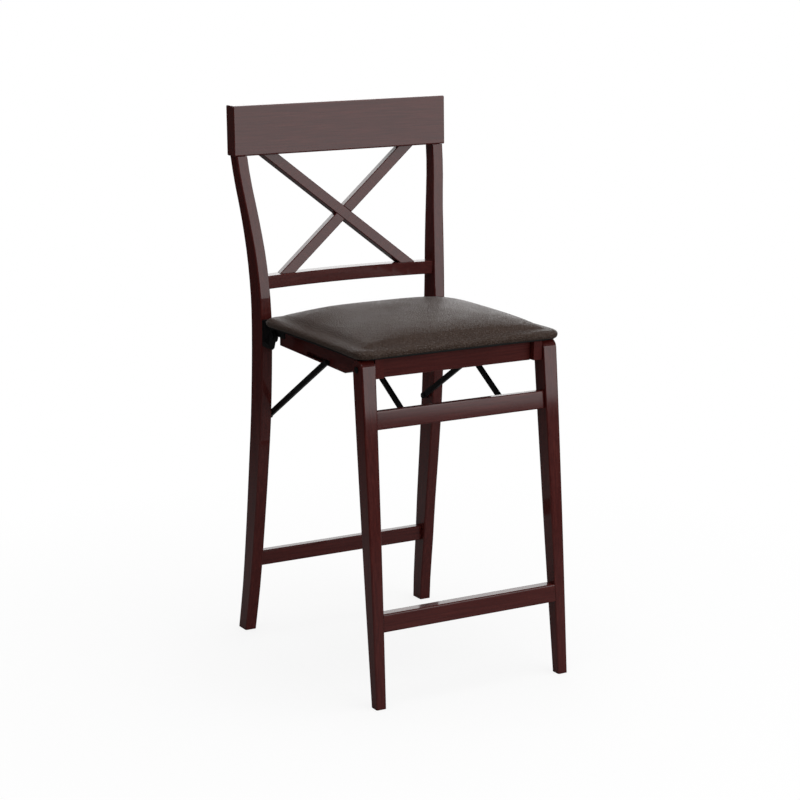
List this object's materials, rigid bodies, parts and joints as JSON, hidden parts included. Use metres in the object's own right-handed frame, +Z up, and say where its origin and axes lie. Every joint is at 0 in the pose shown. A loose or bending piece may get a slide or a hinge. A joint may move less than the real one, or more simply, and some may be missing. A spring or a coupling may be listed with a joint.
{
  "type": "folding counter stool",
  "caption": "Folding wooden counter stool with a crossed-bar back, an upholstered seat that tips up, a footrest and steel stays.",
  "frame": {"origin": "on the floor under the middle of the stool's outer box", "axes": "+Z up, -Y the way the sitter faces, +X to the right of a viewer who stands in front"},
  "size_m": [0.416, 0.5004, 0.94],
  "materials": {
    "espresso_wood": "dark espresso stain under satin lacquer",
    "black_steel": "satin black paint",
    "brown_vinyl": "dark brown grained vinyl",
    "seat_board": "plywood behind black cloth"
  },
  "bodies": {
    "back_frame": {"crest_rail": "espresso_wood", "lower_back_rail": "espresso_wood", "cross_bar_front": "espresso_wood", "cross_bar_rear": "espresso_wood", "rear_stretcher": "espresso_wood", "back_post_left": "espresso_wood", "back_post_right": "espresso_wood", "hinge_bracket_left": "black_steel", "hinge_bracket_right": "black_steel", "hinge_rivet_left": "black_steel", "hinge_rivet_right": "black_steel", "bracket_screw_lower_left": "black_steel", "bracket_screw_lower_right": "black_steel", "bracket_screw_upper_left": "black_steel", "bracket_screw_upper_right": "black_steel", "rear_stay_screw_left": "black_steel", "rear_stay_screw_right": "black_steel", "rear_stay_spacer_left": "black_steel", "rear_stay_spacer_right": "black_steel"},
    "seat": {"front_apron": "espresso_wood", "rear_seat_rail": "espresso_wood", "seat_board": "seat_board", "seat_cushion": "brown_vinyl", "seat_side_rail_left": "espresso_wood", "seat_side_rail_right": "espresso_wood", "hinge_ear_left": "black_steel", "hinge_ear_right": "black_steel", "front_stay_track_left": "black_steel", "front_stay_track_right": "black_steel", "leg_bolt_left": "black_steel", "leg_bolt_right": "black_steel", "leg_bolt_sleeve_left": "black_steel", "leg_bolt_sleeve_right": "black_steel"},
    "front_legs": {"front_rail": "espresso_wood", "footrest": "espresso_wood", "front_leg_left": "espresso_wood", "front_leg_right": "espresso_wood", "front_stay_clip_left": "black_steel", "front_stay_clip_right": "black_steel", "front_stay_pin_left": "black_steel", "front_stay_pin_right": "black_steel"},
    "rear_stays": {"rear_stay_left": "black_steel", "rear_stay_right": "black_steel"},
    "front_stays": {"front_stay_left": "black_steel", "front_stay_right": "black_steel"}
  },
  "joints": [
    {"name": "seat_fold", "type": "hinge", "parent": "back_frame", "child": "seat", "pos_m": [0, 0.119, 0.557], "axis": [-1, 0, 0], "range_deg": [0, 70]},
    {"name": "leg_fold", "type": "hinge", "parent": "seat", "child": "front_legs", "pos_m": [0, -0.1863, 0.5538], "axis": [1, 0, 0], "range_deg": [0, 77]},
    {"name": "rear_stay_swing", "type": "hinge", "parent": "back_frame", "child": "rear_stays", "pos_m": [0, 0.1862, 0.401], "axis": [-1, 0, 0], "range_deg": [0, 31.5]},
    {"name": "front_stay_swing", "type": "hinge", "parent": "front_legs", "child": "front_stays", "pos_m": [0, -0.1819, 0.4683], "axis": [-1, 0, 0], "range_deg": [0, 101.1]}
  ],
  "couplings": [
    {"joint": "leg_fold", "follows": "seat_fold", "ratio": 1.1},
    {"joint": "rear_stay_swing", "follows": "seat_fold", "ratio": 0.45},
    {"joint": "front_stay_swing", "follows": "seat_fold", "ratio": 1.4442}
  ]
}
